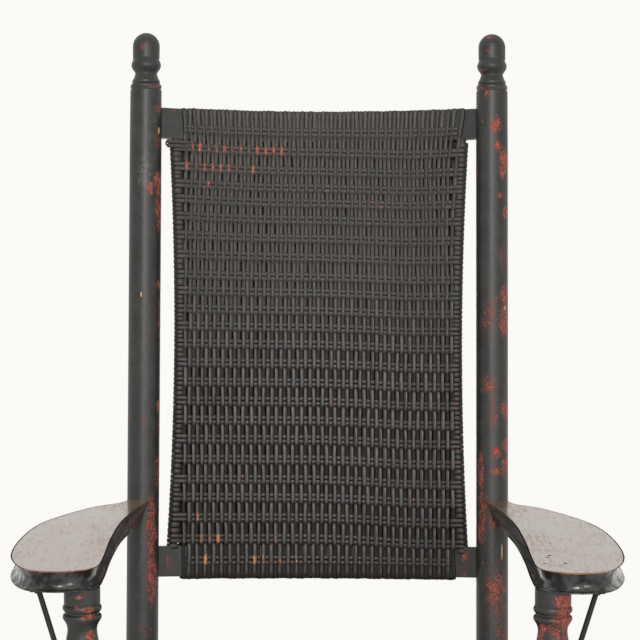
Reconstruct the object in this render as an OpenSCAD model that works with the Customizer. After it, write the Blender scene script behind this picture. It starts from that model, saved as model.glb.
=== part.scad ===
/* [Overall] */
// Distance between the two back posts, centre to centre
back_spread = 435; // [400:1:480]
// Distance between the two front posts, centre to centre
front_spread = 509; // [480:1:560]
// Distance from the front posts to the back posts at seat height
seat_depth = 408; // [390:1:440]
// Height of the seat frame's centre line at the front
seat_height = 400; // [380:1:425]
// How much lower the seat frame is at the back
seat_drop = 15; // [0:1:25]
// Lean of the back from upright, in degrees
back_lean = 9; // [6:0.5:12]
// Distance of the front posts ahead of the point where the chair balances
front_reach = 277; // [262:1:292]

/* [Posts] */
// Diameter of the plain part of every post
post_d = 40; // [37:0.5:43]
// Length of a back post above seat height, measured along the post
post_length = 801; // [770:1:840]
// Height of a back post's turned finial with its collar
finial_height = 72; // [66:1:78]
// Diameter of the posts where they straddle the rockers
foot_d = 34; // [32:0.5:37]
// Height of the seat frame's plain blocks above and below the rails
block_half = 30; // [26:1:34]

/* [Back] */
// Height of the top rail's centre along the post, above seat height
top_rail_at = 688; // [670:1:695]
// Height of the bottom rail's centre along the post, above seat height
bottom_rail_at = 138; // [110:1:160]
// Height of the two bent rails
rail_height = 38; // [32:1:42]
// Thickness of the two bent rails
rail_thickness = 12; // [10:0.5:14]
// How far the rails bend backwards between the posts
back_bow = 50; // [35:1:60]
// Distance from the chair's middle to a side rod where it meets the rails
rod_half = 181; // [172:1:184]
// How far the side rods are drawn in at their middle
rod_waist = 9; // [5:0.5:12]
// Diameter of the side rods
rod_d = 10; // [9:0.5:12]
// Distance from the chair's middle to the outermost warp strand
warp_half = 166; // [158:1:168]

/* [Weave] */
// Thickness of one woven layer of cane
weave_t = 3.5; // [3:0.1:4.5]

/* [Seat] */
// Diameter of the round seat rails
seat_rail_d = 26; // [23:0.5:28]
// Diameter of the round tenons on the rails and stretchers
tenon_d = 15; // [13:0.5:17]

/* [Arms] */
// Height of the arm tops above seat height
arm_rise = 215; // [200:1:235]
// Thickness of the arms
arm_thickness = 23; // [20:0.5:26]
// Width of the arm's outline, which its side points scale with
arm_width = 100; // [92:1:110]
// How far the arm's lower edge stands out past its top edge
arm_roll = 4; // [2:0.5:6]
// Length of the front posts' tenons in the arms
arm_tenon = 14; // [10:0.5:16]

/* [Stretchers] */
// Thickest diameter of the stretchers
stretcher_d = 23; // [20:0.5:26]
// Height of the upper front stretcher
front_upper = 300; // [285:1:315]
// Height of the lower front stretcher
front_lower = 195; // [180:1:210]
// Height of the upper side stretchers at the front
side_upper = 262; // [250:1:270]
// Height of the lower side stretchers at the front
side_lower = 155; // [145:1:165]
// How much lower the side stretchers are at the back
side_drop = 12; // [0:1:16]
// Height of the back stretcher
back_stretcher_at = 200; // [190:1:215]

/* [Rockers] */
// Radius of the rockers' curved soles
rocker_radius = 1050; // [950:5:1250]
// Half of a rocker's length
rocker_reach = 390; // [370:1:410]
// Depth of a rocker from its sole to its top edge
rocker_depth = 50; // [44:1:56]
// Thickness of a rocker
rocker_thickness = 20; // [17:0.5:22]
// Height of the posts' feet above the rockers' soles
foot_lift = 13; // [10:1:18]
// Diameter of the pins through the feet
pin_d = 7; // [6:0.5:9]

/* [Braces] */
// Diameter of the iron rods under the arms
brace_d = 6; // [5:0.5:7]
// Distance of a brace's top from the front post's centre, outwards
brace_out = 47; // [44:1:52]
// Distance of a brace's foot below the arm
brace_down = 92; // [80:1:100]

/* [Hidden] */
$fn = 48;

paint = [0.13, 0.13, 0.12];
cane = [0.22, 0.20, 0.18];
iron = [0.10, 0.10, 0.10];
peg = [0.20, 0.14, 0.10];

LEFT = -1;
RIGHT = 1;
post_r = post_d / 2;
foot_r = foot_d / 2;
tenon_r = tenon_d / 2;
seat_rail_r = seat_rail_d / 2;
rod_r = rod_d / 2;
// How far one solid runs into another that it is joined with
overlap = 1;
// Wood left between two tenons that meet at a right angle in a post
tenon_wall = 1.5;
tenon_depth = post_r - tenon_r - tenon_wall;
// Space round a post that the soft weave keeps clear
weave_clear = 0.6;
// How far flat woven layers lie inside the tops of the rounds that they meet
layer_dip = 0.4;

front_x = front_spread / 2;
back_x = back_spread / 2;
front_y = -front_reach;
back_y = seat_depth - front_reach;

// A point on the centre line of a post at height z
function front_at(side, z) = [side * front_x, front_y, z];
function back_at(side, z) = [side * back_x, back_y + (z - seat_height) * tan(back_lean), z];

// One stretch of a turned outline, up to but without its last point
function swell(z0, r0, z1, r1, bulge = 0, n = 6) = [for (i = [0:n - 1])
    [r0 + (r1 - r0) * i / n + bulge * sin(180 * i / n), z0 + (z1 - z0) * i / n]];

// A closed smooth curve through points, with n steps between neighbours
function along(a, b, c, d, t) = 0.5 * (2 * b + (c - a) * t + (2 * a - 5 * b + 4 * c - d) * t * t
    + (3 * b - a - 3 * c + d) * t * t * t);
function smooth(p, n) = [for (i = [0:len(p) - 1], k = [0:n - 1])
    along(p[(i + len(p) - 1) % len(p)], p[i], p[(i + 1) % len(p)], p[(i + 2) % len(p)], k / n)];
// The same closed curve moved outwards by d, for points that run clockwise
function unit(v) = v / norm(v);
function grown(p, d) = [for (i = [0:len(p) - 1])
    let (way = unit(p[(i + 1) % len(p)] - p[(i + len(p) - 1) % len(p)]))
    p[i] + d * [-way.y, way.x]];

// Draws its child, built along +Z from the origin, from point p towards point q
module aim(p, q) {
    way = q - p;
    flat = norm([way.x, way.y]);
    translate(p)
        rotate([0, atan2(flat, way.z), atan2(way.y, way.x)])
            children();
}

module each_side() {
    children();
    mirror([1, 0, 0]) children();
}

module on_side(side) {
    if (side == LEFT) mirror([1, 0, 0]) children();
    else children();
}

// Rockers. The sole's lowest point is at the origin's height, half way along.
joint_z = rocker_depth;
rocker_turn = atan((front_x - back_x) / (back_at(RIGHT, joint_z).y - front_y));
rocker_x = front_x - front_reach * tan(rocker_turn);
tip_angle = asin((rocker_reach - rocker_depth / 2) / rocker_radius);
function sole(y) = rocker_radius - sqrt(pow(rocker_radius, 2) - pow(y / cos(rocker_turn), 2));
front_foot = sole(front_y) + foot_lift;
back_foot_y = back_at(RIGHT, joint_z).y;
back_foot = sole(back_foot_y) + foot_lift;

module rocker_frame() {
    translate([rocker_x, 0, rocker_radius])
        rotate([0, 0, rocker_turn])
            rotate([0, 90, 0])
                children();
}

module rocker_blank() {
    rocker_frame() {
        rotate([0, 0, -tip_angle])
            rotate_extrude(angle = 2 * tip_angle, $fn = 360)
                translate([rocker_radius - rocker_depth, -rocker_thickness / 2])
                    square([rocker_depth, rocker_thickness]);
        for (end = [-1, 1])
            rotate([0, 0, end * tip_angle])
                translate([rocker_radius - rocker_depth / 2, 0, 0])
                    cylinder(d = rocker_depth, h = rocker_thickness, center = true);
    }
}

// A pin across a foot at the place y along the chair
module foot_pin(y, z) {
    translate([rocker_x - y * tan(rocker_turn), y, z])
        rotate([0, 90, rocker_turn])
            cylinder(d = pin_d, h = foot_d - 1, center = true);
}

front_pin_z = (front_foot + sole(front_y) + rocker_depth) / 2;
back_pin_z = (back_foot + sole(back_foot_y) + rocker_depth) / 2;

module foot_pins() {
    foot_pin(front_y, front_pin_z);
    foot_pin(back_at(RIGHT, back_pin_z).y, back_pin_z);
}

module rocker(side) {
    color(paint)
        on_side(side)
            difference() {
                rocker_blank();
                foot_pins();
            }
}

module rocker_pins() {
    color(peg) each_side() foot_pins();
}

// A turned rail or stretcher between the centre lines of two posts
module rung(p, q, end_r, mid_r, swell_share) {
    length = norm(q - p);
    start = post_r - tenon_depth;
    neck = post_r * 1.2;
    full = neck + (length / 2 - neck) * swell_share;
    aim(p, q)
        rotate_extrude()
            polygon(concat(
                [[0, start]],
                [[end_r, start]],
                swell(neck, end_r, full, mid_r, (mid_r - end_r) * 0.15),
                swell(full, mid_r, length - full, mid_r, 0, 1),
                swell(length - full, mid_r, length - neck, end_r, (mid_r - end_r) * 0.15),
                [[end_r, length - neck]],
                [[end_r, length - start]],
                [[0, length - start]]));
}

seat_back_z = seat_height - seat_drop;
stretcher_r = stretcher_d / 2;
rail_swell = 0.06;
stretcher_swell = 0.75;

module seat_front_rail_form() {
    rung(front_at(LEFT, seat_height), front_at(RIGHT, seat_height), tenon_r, seat_rail_r, rail_swell);
}

module seat_back_rail_form() {
    rung(back_at(LEFT, seat_back_z), back_at(RIGHT, seat_back_z), tenon_r, seat_rail_r, rail_swell);
}

module seat_side_rail_form() {
    rung(front_at(RIGHT, seat_height), back_at(RIGHT, seat_back_z), tenon_r, seat_rail_r, rail_swell);
}

module front_stretcher_form(z) {
    rung(front_at(LEFT, z), front_at(RIGHT, z), tenon_r, stretcher_r, stretcher_swell);
}

module back_stretcher_form() {
    rung(back_at(LEFT, back_stretcher_at), back_at(RIGHT, back_stretcher_at),
        tenon_r, stretcher_r, stretcher_swell);
}

module side_stretcher_form(z) {
    rung(front_at(RIGHT, z), back_at(RIGHT, z - side_drop), tenon_r, stretcher_r, stretcher_swell);
}

// Back. Its own frame has Z up the posts, Y backwards and the origin at seat height.
module back_frame() {
    translate([0, back_y, seat_height])
        rotate([-back_lean, 0, 0])
            children();
}

bow_radius = (pow(back_x, 2) + pow(back_bow, 2)) / (2 * back_bow);
function bow_angle(x) = asin(x / bow_radius);

// A bent board, t thick and h high, centred at height z, from x = -reach to reach
module bent(reach, t, z, h) {
    translate([0, back_bow - bow_radius, z - h / 2])
        rotate([0, 0, 90 - bow_angle(reach)])
            rotate_extrude(angle = 2 * bow_angle(reach), $fn = 240)
                translate([bow_radius - t / 2, 0])
                    square([t, h]);
}

rail_tenon_height = rail_height * 0.68;
rail_tenon_t = rail_thickness * 0.75;
rail_tenon_reach = back_x - post_r * 0.3;
rail_pin_d = 5;

module rail_tenons(z) {
    bent(rail_tenon_reach, rail_tenon_t, z, rail_tenon_height);
}

module back_rail_form(z) {
    difference() {
        bent(back_x, rail_thickness, z, rail_height);
        each_side()
            translate([back_x, 0, z - rail_height])
                cylinder(r = post_r, h = rail_height * 2);
    }
    rail_tenons(z);
}

// Pegs driven through the back of a post and the rail's tenon
module rail_pin(z) {
    translate([back_x - post_r * 0.6, 0, z])
        rotate([-90, 0, 0])
            cylinder(d = rail_pin_d, h = post_r * 1.6, center = true);
}

module rail_pins_form() {
    back_frame() {
        rail_pin(top_rail_at);
        rail_pin(bottom_rail_at);
    }
}

// Side rods. Each is an arc in the plane that touches the bent surface there.
rod_bottom = bottom_rail_at + rail_height / 2;
rod_top = top_rail_at - rail_height / 2;
rod_mid = (rod_bottom + rod_top) / 2;
rod_run = (rod_top - rod_bottom) / 2;
rod_tenon = 8;
rod_arc = (pow(rod_run, 2) + pow(rod_waist, 2)) / (2 * rod_waist);
rod_turn = bow_angle(rod_half);

module rod_place() {
    translate([0, back_bow - bow_radius, rod_mid])
        rotate([0, 0, -rod_turn])
            translate([rod_arc - rod_waist, bow_radius, 0])
                rotate([90, 0, 0])
                    children();
}

module rod_form(r, run) {
    rod_place()
        rotate([0, 0, 180 - asin(run / rod_arc)])
            rotate_extrude(angle = 2 * asin(run / rod_arc), $fn = 720)
                translate([rod_arc, 0])
                    circle(r = r, $fn = 32);
}

module side_rod_form() {
    back_frame() rod_form(rod_r, rod_run + rod_tenon);
}

module side_rod(side) {
    color(cane) on_side(side) side_rod_form();
}

// The woven sleeve over the rails and rods: two layers with the rails between
weave_height = top_rail_at - bottom_rail_at + rail_height + 2 * weave_t;
weave_mid = (top_rail_at + bottom_rail_at) / 2;
sleeve_end = 0.4;

module back_weave() {
    color(cane)
        back_frame()
            difference() {
                union() {
                    bent(warp_half, rail_thickness + 2 * weave_t, weave_mid, weave_height);
                    difference() {
                        bent(rod_half, rail_thickness + 2 * (weave_t - layer_dip), rod_mid,
                            2 * (rod_run - sleeve_end));
                        each_side()
                            rod_place()
                                cylinder(r = rod_arc + 1, h = rail_thickness * 6, center = true, $fn = 720);
                    }
                    each_side() rod_form(rod_r + weave_t, rod_run - sleeve_end);
                }
                bent(back_x, rail_thickness, top_rail_at, rail_height);
                bent(back_x, rail_thickness, bottom_rail_at, rail_height);
                bent(rod_half - rod_waist - rod_r - weave_t, rail_thickness - 2 * layer_dip, rod_mid,
                    2 * rod_run + rail_height / 2);
                each_side() rod_form(rod_r, rod_run + rod_tenon);
            }
}

// Seat. Its own frame has the origin at the front rail and Y towards the back rail.
seat_run = back_at(RIGHT, seat_back_z).y - front_y;
seat_slope = -atan(seat_drop / seat_run);
seat_length = norm([seat_run, seat_drop]);
sleeve_r = seat_rail_r + weave_t;
// A flat block of the seat's outline, with its sides drawn in from the rails
module seat_slab(half, inset) {
    translate([0, front_y, seat_height])
        rotate([seat_slope, 0, 0])
            translate([0, 0, -half])
                linear_extrude(2 * half)
                    polygon([[inset - front_x, inset], [front_x - inset, inset],
                        [back_x - inset, seat_length - inset], [inset - back_x, seat_length - inset]]);
}

// A cylinder round a rail, whose ends run past the post's centre by the given reach
module round_rail(p, q, r, past) {
    aim(p - past * unit(q - p), q) cylinder(r = r, h = norm(q - p) + 2 * past);
}

module round_the_rails(r) {
    round_rail(front_at(LEFT, seat_height), front_at(RIGHT, seat_height), r, 3);
    round_rail(back_at(LEFT, seat_back_z), back_at(RIGHT, seat_back_z), r, 3);
    each_side() round_rail(front_at(RIGHT, seat_height), back_at(RIGHT, seat_back_z), r, 6);
}

module seat_weave() {
    color(cane)
        difference() {
            union() {
                seat_slab(sleeve_r - layer_dip, 1);
                round_the_rails(sleeve_r);
            }
            seat_slab(seat_rail_r - 2 * layer_dip, 3);
            round_the_rails(seat_rail_r);
            each_side() {
                translate(front_at(RIGHT, seat_height - 2 * block_half))
                    cylinder(r = post_r + weave_clear, h = 4 * block_half);
                back_frame()
                    translate([back_x, 0, -3 * block_half])
                        cylinder(r = post_r + weave_clear, h = 6 * block_half);
            }
        }
}

// Arms. Outline points are [outwards, backwards] from the front post, in shares
// of the arm's width and of the distance between the posts.
arm_top = seat_height + arm_rise;
arm_under = arm_top - arm_thickness;
arm_from = front_at(RIGHT, arm_top);
arm_to = back_at(RIGHT, arm_top);
arm_length = norm(arm_to - arm_from);
arm_turn = atan2(arm_from.x - arm_to.x, arm_to.y - arm_from.y);
function arm_at(share, back_share) = [share * arm_width, back_share * arm_length];
arm_plan = smooth([arm_at(-0.09, 0.975), arm_at(-0.07, 0.90), arm_at(0, 0.75), arm_at(0.02, 0.58),
    arm_at(-0.04, 0.34), arm_at(-0.13, 0.11), arm_at(-0.14, 0), arm_at(0.02, -0.05),
    arm_at(0.32, -0.067), arm_at(0.62, -0.03), arm_at(0.86, 0.12), arm_at(0.95, 0.36),
    arm_at(0.88, 0.59), arm_at(0.52, 0.81), arm_at(0.22, 0.90), arm_at(0.13, 0.975)], 3);

module arm_frame(z) {
    translate([front_x, front_y, z])
        rotate([0, 0, arm_turn])
            children();
}

module arm_form() {
    difference() {
        union() {
            arm_frame(arm_under) linear_extrude(arm_thickness) polygon(arm_plan);
            arm_frame(arm_under + arm_thickness * 0.13)
                linear_extrude(arm_thickness * 0.6)
                    polygon(grown(arm_plan, arm_roll));
        }
        back_frame()
            translate([back_x, 0, 0])
                cylinder(r = post_r, h = post_length / 2);
        arm_tenon_form();
        arm_screw_form();
        brace_arm_screw();
    }
}

module arm_tenon_form() {
    translate(front_at(RIGHT, arm_under - overlap))
        cylinder(r = tenon_r * 1.2, h = arm_tenon + overlap);
}

// Screw through the back of a post into the end of the arm
arm_screw_d = 5;
arm_screw_head_d = 10;
arm_screw_length = 36;
screw_head_t = 3;

module arm_screw_form() {
    arm_frame((arm_top + arm_under) / 2)
        translate([0, arm_length, 0])
            rotate([90, 0, 0]) {
                translate([0, 0, -post_r]) cylinder(d = arm_screw_d, h = post_r + arm_screw_length);
                translate([0, 0, -post_r - overlap]) cylinder(d = arm_screw_head_d, h = screw_head_t);
            }
}

module arm_screws() {
    color(iron) each_side() arm_screw_form();
}

module arm(side) {
    color(paint) on_side(side) arm_form();
}

// Braces. An iron rod with a flat foot under the arm and a round eye on the post.
brace_plate = [16, 26, 3];
brace_eye_d = 15;
brace_eye_t = 4;
brace_screw_d = 3.5;
brace_screw_head_d = 7;
brace_head_proud = 1.5;
brace_head_t = 2.5;
brace_arm_screw_length = 16;
brace_post_screw_length = 18;
brace_x = front_x + brace_out;
brace_eye_x = front_x + post_r - brace_eye_t * 0.4;
brace_eye_z = arm_under - brace_down;
brace_screw_at = brace_plate.y * 0.35;

module brace_form() {
    top = [brace_x, front_y, arm_under - brace_plate.z];
    foot = [brace_eye_x + brace_eye_t * 0.75, front_y, brace_eye_z + brace_eye_d / 4];
    difference() {
        union() {
            translate([brace_x, front_y, arm_under - brace_plate.z / 2])
                cube(brace_plate, center = true);
            aim(foot, top) cylinder(d = brace_d, h = norm(top - foot) + overlap);
            translate([brace_eye_x, front_y, brace_eye_z])
                rotate([0, 90, 0])
                    cylinder(d = brace_eye_d, h = brace_eye_t);
        }
        translate([brace_x, front_y, arm_under + brace_plate.y / 2])
            cube(brace_plate.y, center = true);
        brace_arm_screw();
        brace_post_screw();
    }
}

module brace_arm_screw() {
    translate([brace_x, front_y - brace_screw_at, arm_under - brace_plate.z - brace_head_proud]) {
        cylinder(d = brace_screw_head_d, h = brace_head_t);
        cylinder(d = brace_screw_d, h = brace_arm_screw_length);
    }
}

module brace_post_screw() {
    translate([brace_eye_x + brace_eye_t + overlap, front_y, brace_eye_z - brace_eye_d / 4])
        rotate([0, -90, 0]) {
            cylinder(d = brace_screw_head_d * 0.8, h = brace_head_t);
            cylinder(d = brace_screw_d, h = brace_post_screw_length);
        }
}

module brace_screws() {
    color(iron)
        each_side() {
            brace_arm_screw();
            brace_post_screw();
        }
}

module arm_brace(side) {
    color(iron) on_side(side) brace_form();
}

// Front posts. Two rings and a cove under the arm, a vase down to the seat block.
front_neck = arm_under - post_d * 1.25;
block_top = seat_height + block_half;
block_low = seat_height - block_half;
neck_r = post_r * 0.82;
waist_r = post_r * 0.72;
ring_swell = post_r * 0.093;
// Height of one turned ring, and of a pair with the groove between
ring_h = post_d * 0.2;
pair_h = ring_h * 2.25;
ring_gap = post_d * 0.05;
plain_r = post_r - 0.5;
vase_mid = block_top + (front_neck - block_top) * 0.62;
vase_low = block_top + ring_gap * 2 + pair_h;
low_ring = front_foot + (front_lower - front_foot) * 0.55;
mid_ring = (front_lower + front_upper - pair_h) / 2;
top_ring = arm_under - post_d * 0.9;

function double_ring(z, r) = concat(
    swell(z, r, z + ring_h, r, ring_swell, 5),
    [[r - 1, z + ring_h], [r - 1, z + pair_h - ring_h]],
    swell(z + pair_h - ring_h, r, z + pair_h, r, ring_swell, 5),
    [[r, z + pair_h]]);

front_outline = concat(
    [[0, front_foot]],
    swell(front_foot, foot_r - 2, front_foot + 6, foot_r, 0, 2),
    swell(front_foot + 6, foot_r, low_ring, post_r - 1, 0, 1),
    double_ring(low_ring, post_r - 1),
    [[plain_r, low_ring + pair_h + ring_gap]],
    [[plain_r, mid_ring]],
    double_ring(mid_ring, post_r - 1),
    [[plain_r, mid_ring + pair_h + ring_gap]],
    [[plain_r, block_low - pair_h - 2 * ring_gap]],
    double_ring(block_low - pair_h - ring_gap, post_r - 1),
    [[post_r, block_low]],
    [[post_r, block_top]],
    double_ring(block_top + ring_gap, post_r - 1),
    swell(vase_low, post_r - 3, vase_low + post_d * 0.3, waist_r, -1, 4),
    swell(vase_low + post_d * 0.3, waist_r, vase_mid, post_r, 1.2, 6),
    swell(vase_mid, post_r, front_neck, neck_r, 1.2, 6),
    swell(front_neck, neck_r, top_ring, post_r - 1, -1.4, 5),
    double_ring(top_ring, post_r - 0.6),
    [[post_r - 0.3, top_ring + pair_h + ring_gap * 0.75]],
    [[post_r - 0.3, arm_under]],
    [[0, arm_under]]);

module front_post_form() {
    translate([front_x, front_y, 0])
        rotate_extrude()
            polygon(front_outline);
    arm_tenon_form();
}

module front_post(side) {
    color(paint)
        on_side(side)
            difference() {
                front_post_form();
                rocker_blank();
                foot_pins();
                seat_front_rail_form();
                seat_side_rail_form();
                front_stretcher_form(front_upper);
                front_stretcher_form(front_lower);
                side_stretcher_form(side_upper);
                side_stretcher_form(side_lower);
                translate([brace_eye_x, front_y, brace_eye_z])
                    rotate([0, 90, 0])
                        cylinder(d = brace_eye_d, h = brace_eye_t);
                brace_post_screw();
            }
}

// Back posts. Plain and round, with an acorn finial over a collar.
finial_dome = finial_height * 0.246;
acorn_r = post_r * 0.85;
collar_at = post_length - finial_height;
back_foot_s = (back_foot - seat_height) / cos(back_lean);
foot_cut = post_r * 0.3;
foot_end = post_r;
foot_taper = post_r * 3;
// Height along the post of a share of the finial
function finial_at(share) = collar_at + finial_height * share;

back_outline = concat(
    [[0, back_foot_s - foot_cut]],
    [[foot_r, back_foot_s - foot_cut]],
    [[foot_r, back_foot_s + foot_end]],
    swell(back_foot_s + foot_taper, post_r - 0.6, back_foot_s + foot_taper * 1.07, post_r, 0, 2),
    [[post_r, finial_at(-1)]],
    [[post_r * 0.985, finial_at(-0.02)]],
    [[post_r * 0.93, collar_at]],
    swell(finial_at(0.01), post_r * 0.935, finial_at(0.1), post_r * 0.925, post_r * 0.045, 5),
    [[post_r * 0.85, finial_at(0.105)]],
    [[post_r * 0.875, finial_at(0.12)]],
    swell(finial_at(0.15), post_r * 0.87, finial_at(0.285), post_r * 0.68, post_r * -0.03, 4),
    [[post_r * 0.68, finial_at(0.285)]],
    swell(finial_at(0.315), post_r * 0.74, finial_at(0.52), post_r * 0.81, post_r * 0.155, 7),
    [[acorn_r * 0.955, finial_at(0.53)]],
    [[acorn_r * 0.99, finial_at(0.56)]],
    [for (a = [0:12:84]) [acorn_r * cos(a), post_length - finial_dome + finial_dome * sin(a)]],
    [[0, post_length]]);

module back_post(side) {
    color(paint)
        on_side(side)
            difference() {
                back_frame()
                    translate([back_x, 0, 0])
                        rotate_extrude()
                            polygon(back_outline);
                translate([-front_spread, -rocker_reach, back_foot - rocker_depth])
                    cube([2 * front_spread, 2 * rocker_reach, rocker_depth]);
                back_frame() {
                    rail_tenons(top_rail_at);
                    rail_tenons(bottom_rail_at);
                }
                rail_pins_form();
                rocker_blank();
                foot_pins();
                seat_back_rail_form();
                seat_side_rail_form();
                back_stretcher_form();
                side_stretcher_form(side_upper);
                side_stretcher_form(side_lower);
                arm_screw_form();
            }
}

module back_rail(z) {
    color(paint)
        difference() {
            back_frame() back_rail_form(z);
            each_side() {
                side_rod_form();
                rail_pins_form();
            }
        }
}

module back_rail_pins() {
    color(peg) each_side() rail_pins_form();
}

back_post(LEFT);  // back_post_left
back_post(RIGHT);  // back_post_right
front_post(LEFT);  // front_post_left
front_post(RIGHT);  // front_post_right
back_rail(top_rail_at);  // back_top_rail
back_rail(bottom_rail_at);  // back_bottom_rail
side_rod(LEFT);  // back_side_rod_left
side_rod(RIGHT);  // back_side_rod_right
back_weave();
arm(LEFT);  // arm_left
arm(RIGHT);  // arm_right
arm_brace(LEFT);  // arm_brace_left
arm_brace(RIGHT);  // arm_brace_right
color(paint) seat_front_rail_form();  // seat_front_rail
color(paint) seat_back_rail_form();  // seat_back_rail
color(paint) on_side(LEFT) seat_side_rail_form();  // seat_side_rail_left
color(paint) seat_side_rail_form();  // seat_side_rail_right
seat_weave();
color(paint) front_stretcher_form(front_upper);  // front_stretcher_upper
color(paint) front_stretcher_form(front_lower);  // front_stretcher_lower
color(paint) back_stretcher_form();  // back_stretcher
color(paint) on_side(LEFT) side_stretcher_form(side_upper);  // side_stretcher_upper_left
color(paint) side_stretcher_form(side_upper);  // side_stretcher_upper_right
color(paint) on_side(LEFT) side_stretcher_form(side_lower);  // side_stretcher_lower_left
color(paint) side_stretcher_form(side_lower);  // side_stretcher_lower_right
rocker(LEFT);  // rocker_left
rocker(RIGHT);  // rocker_right
rocker_pins();
back_rail_pins();
arm_screws();
brace_screws();
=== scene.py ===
import math
import random

import bmesh
import bpy
from mathutils import Matrix, Vector


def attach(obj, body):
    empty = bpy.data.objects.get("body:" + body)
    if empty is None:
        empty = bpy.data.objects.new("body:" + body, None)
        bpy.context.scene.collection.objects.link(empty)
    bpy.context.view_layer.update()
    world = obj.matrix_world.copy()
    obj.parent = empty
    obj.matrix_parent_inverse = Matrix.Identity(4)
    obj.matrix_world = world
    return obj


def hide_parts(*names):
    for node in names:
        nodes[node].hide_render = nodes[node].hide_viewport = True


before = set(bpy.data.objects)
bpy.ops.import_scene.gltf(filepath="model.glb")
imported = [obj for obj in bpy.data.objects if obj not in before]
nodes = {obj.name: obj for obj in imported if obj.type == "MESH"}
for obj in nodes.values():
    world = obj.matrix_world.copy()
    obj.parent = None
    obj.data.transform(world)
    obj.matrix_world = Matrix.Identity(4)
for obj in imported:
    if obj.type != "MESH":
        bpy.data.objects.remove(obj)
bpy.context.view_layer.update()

print("frame loaded:", len(nodes), "nodes")


def feed(tree, socket, value):
    if isinstance(value, Wire):
        tree.links.new(value.socket, socket)
    else:
        socket.default_value = value


class Wire:
    # A shader value that plain arithmetic works on
    def __init__(self, tree, socket):
        self.tree = tree
        self.socket = socket

    def math(self, operation, *others, clamp=False, first=None):
        node = self.tree.nodes.new("ShaderNodeMath")
        node.operation = operation
        node.use_clamp = clamp
        values = (self,) + others if first is None else (first, self)
        for socket, value in zip(node.inputs, values):
            feed(self.tree, socket, value)
        return Wire(self.tree, node.outputs[0])

    def vector(self, operation, other=None):
        node = self.tree.nodes.new("ShaderNodeVectorMath")
        node.operation = operation
        feed(self.tree, node.inputs[0], self)
        if other is not None:
            feed(self.tree, node.inputs[1], other)
        return Wire(self.tree, node.outputs["Value" if operation == "LENGTH" else "Vector"])

    def __add__(self, other):
        return self.math("ADD", other)

    def __radd__(self, other):
        return self.math("ADD", first=other)

    def __sub__(self, other):
        return self.math("SUBTRACT", other)

    def __rsub__(self, other):
        return self.math("SUBTRACT", first=other)

    def __mul__(self, other):
        return self.math("MULTIPLY", other)

    def __rmul__(self, other):
        return self.math("MULTIPLY", first=other)

    def clamp(self):
        return self.math("ADD", 0.0, clamp=True)

    def step(self, low, high):
        # 0 below low, 1 above high, smooth between
        node = self.tree.nodes.new("ShaderNodeMapRange")
        node.interpolation_type = "SMOOTHSTEP"
        for name, value in (("Value", self), ("From Min", low), ("From Max", high)):
            feed(self.tree, node.inputs[name], value)
        return Wire(self.tree, node.outputs["Result"])


class Finish:
    # A material with its shader and output joined
    def __init__(self, name, slot):
        self.material = bpy.data.materials.new(name)
        self.material.use_nodes = True
        self.slot = slot
        self.tree = self.material.node_tree
        self.tree.nodes.clear()
        self.shader = self.tree.nodes.new("ShaderNodeBsdfPrincipled")
        output = self.tree.nodes.new("ShaderNodeOutputMaterial")
        self.tree.links.new(self.shader.outputs["BSDF"], output.inputs["Surface"])

    def add(self, kind, output, settings=None, **sockets):
        node = self.tree.nodes.new(kind)
        for name, value in (settings or {}).items():
            setattr(node, name, value)
        for name, value in sockets.items():
            feed(self.tree, node.inputs[name.replace("_", " ")], value)
        return Wire(self.tree, node.outputs[output])

    def place(self):
        return self.add("ShaderNodeTexCoord", "Object")

    def attribute(self, name):
        return self.add("ShaderNodeAttribute", "Fac", {"attribute_name": name})

    def combine(self, x, y, z):
        return self.add("ShaderNodeCombineXYZ", "Vector", X=x, Y=y, Z=z)

    def separate(self, where, axis):
        return self.add("ShaderNodeSeparateXYZ", axis, Vector=where)

    def noise(self, where, scale, detail=4.0, rough=0.55):
        return self.add("ShaderNodeTexNoise", "Fac",
                        Vector=where, Scale=scale, Detail=detail, Roughness=rough)

    def mix(self, share, a, b):
        node = self.tree.nodes.new("ShaderNodeMix")
        node.data_type = "RGBA"
        # The colour sockets of this node go by number, because their names repeat
        for index, value in ((0, share), (6, a), (7, b)):
            if isinstance(value, tuple):
                value = (*value, 1.0)
            feed(self.tree, node.inputs[index], value)
        return Wire(self.tree, node.outputs[2])

    def near(self, where, centre, radii):
        # 1 at the centre of an egg shaped place, 0 outside it
        scaled = where.vector("SUBTRACT", tuple(centre)).vector("DIVIDE", radii)
        return scaled.vector("LENGTH").step(*egg)

    def cover(self, where, places, base=0.0):
        total = base
        for centre, radii, strength in places:
            total = self.near(where, centre, radii) * strength + total
        return total

    def bump(self, height, distance, strength=1.0):
        return self.add("ShaderNodeBump", "Normal",
                        Height=height, Distance=distance, Strength=strength)

    def set(self, **sockets):
        for name, value in sockets.items():
            feed(self.tree, self.shader.inputs[name.replace("_", " ")], value)


# Distances at which a worn place starts and is at its full strength, in shares of its radii
egg = (1.35, 0.3)

mm = 0.001
# Main sizes of the solids, in metres
lean = math.radians(9)
seatZ = 0.4
backY = 0.131
backX = 0.2175
frontX = 0.2545
frontY = -0.277
postRadius = 0.02
bow = 0.05
bowRadius = (backX ** 2 + bow ** 2) / (2 * bow)


def onBack(u, depth, s):
    # u across the bent panel, depth behind its middle surface, s up the posts
    angle = u / bowRadius
    r = bowRadius + depth
    y = bow - bowRadius + r * math.cos(angle)
    return Vector((r * math.sin(angle), backY + y * math.cos(lean) + s * math.sin(lean),
                   seatZ - y * math.sin(lean) + s * math.cos(lean)))


def onPost(side, across, s):
    # On the front of a back post, by millimetres across and up it
    forward = math.sqrt(max(0.0, postRadius ** 2 - (across * mm) ** 2))
    return (side * backX + across * mm, backY + s * mm * math.sin(lean) - forward * math.cos(lean),
            seatZ + s * mm * math.cos(lean) + forward * math.sin(lean))


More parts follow.
